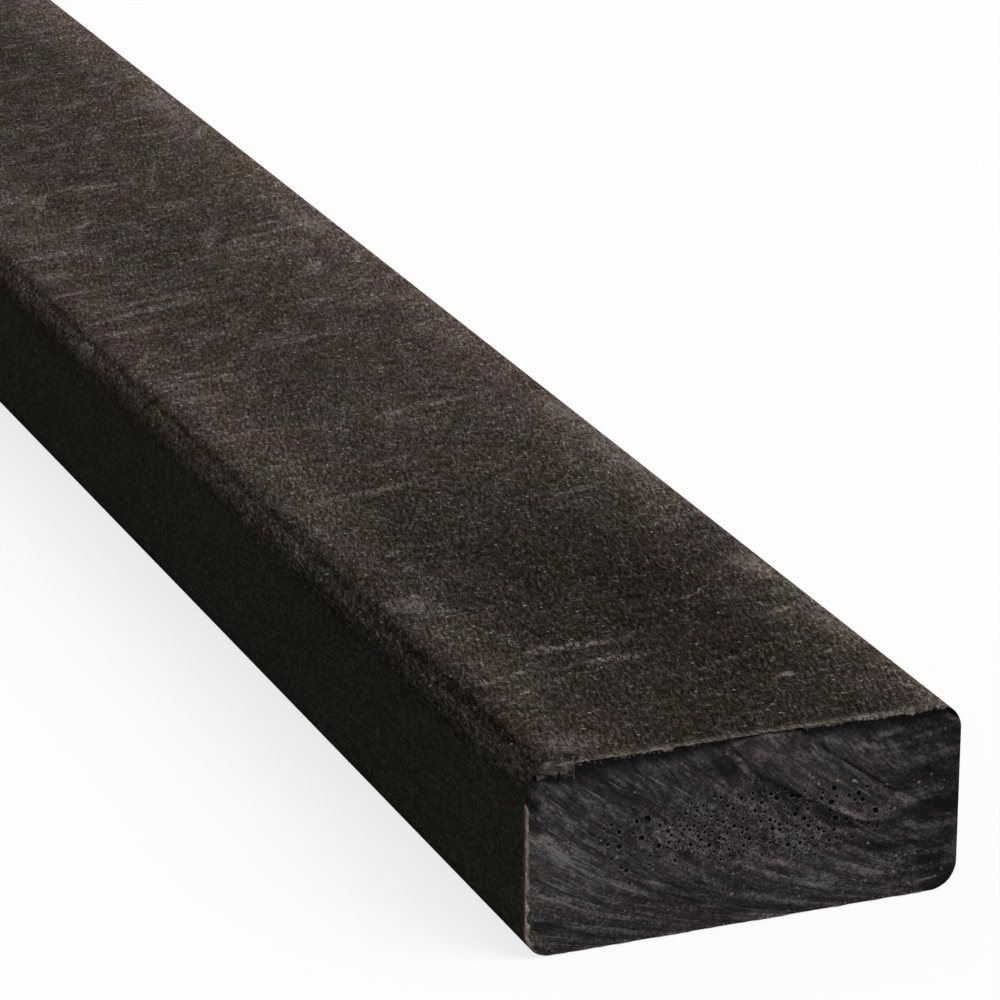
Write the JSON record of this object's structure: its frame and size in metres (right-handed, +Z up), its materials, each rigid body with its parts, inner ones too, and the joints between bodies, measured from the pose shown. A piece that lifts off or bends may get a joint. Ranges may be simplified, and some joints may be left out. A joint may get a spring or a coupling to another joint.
{
  "type": "plastic lumber board",
  "caption": "Straight board of recycled plastic lumber with rounded long edges, a mould seam crease and sawn ends that show its porous core; stock for decking, benches and frames.",
  "frame": {"origin": "middle of the underside, halfway along the board", "axes": "+X along the board's length towards the pictured sawn end, +Y across its width, +Z up through its thickness"},
  "size_m": [1.2192, 0.0888, 0.0381],
  "materials": {
    "recycled_plastic": "matte charcoal-brown moulded skin with fine flecks and scuffs; bluish grey saw-marked ends"
  },
  "bodies": {
    "root": {"board": "recycled_plastic"}
  },
  "joints": []
}
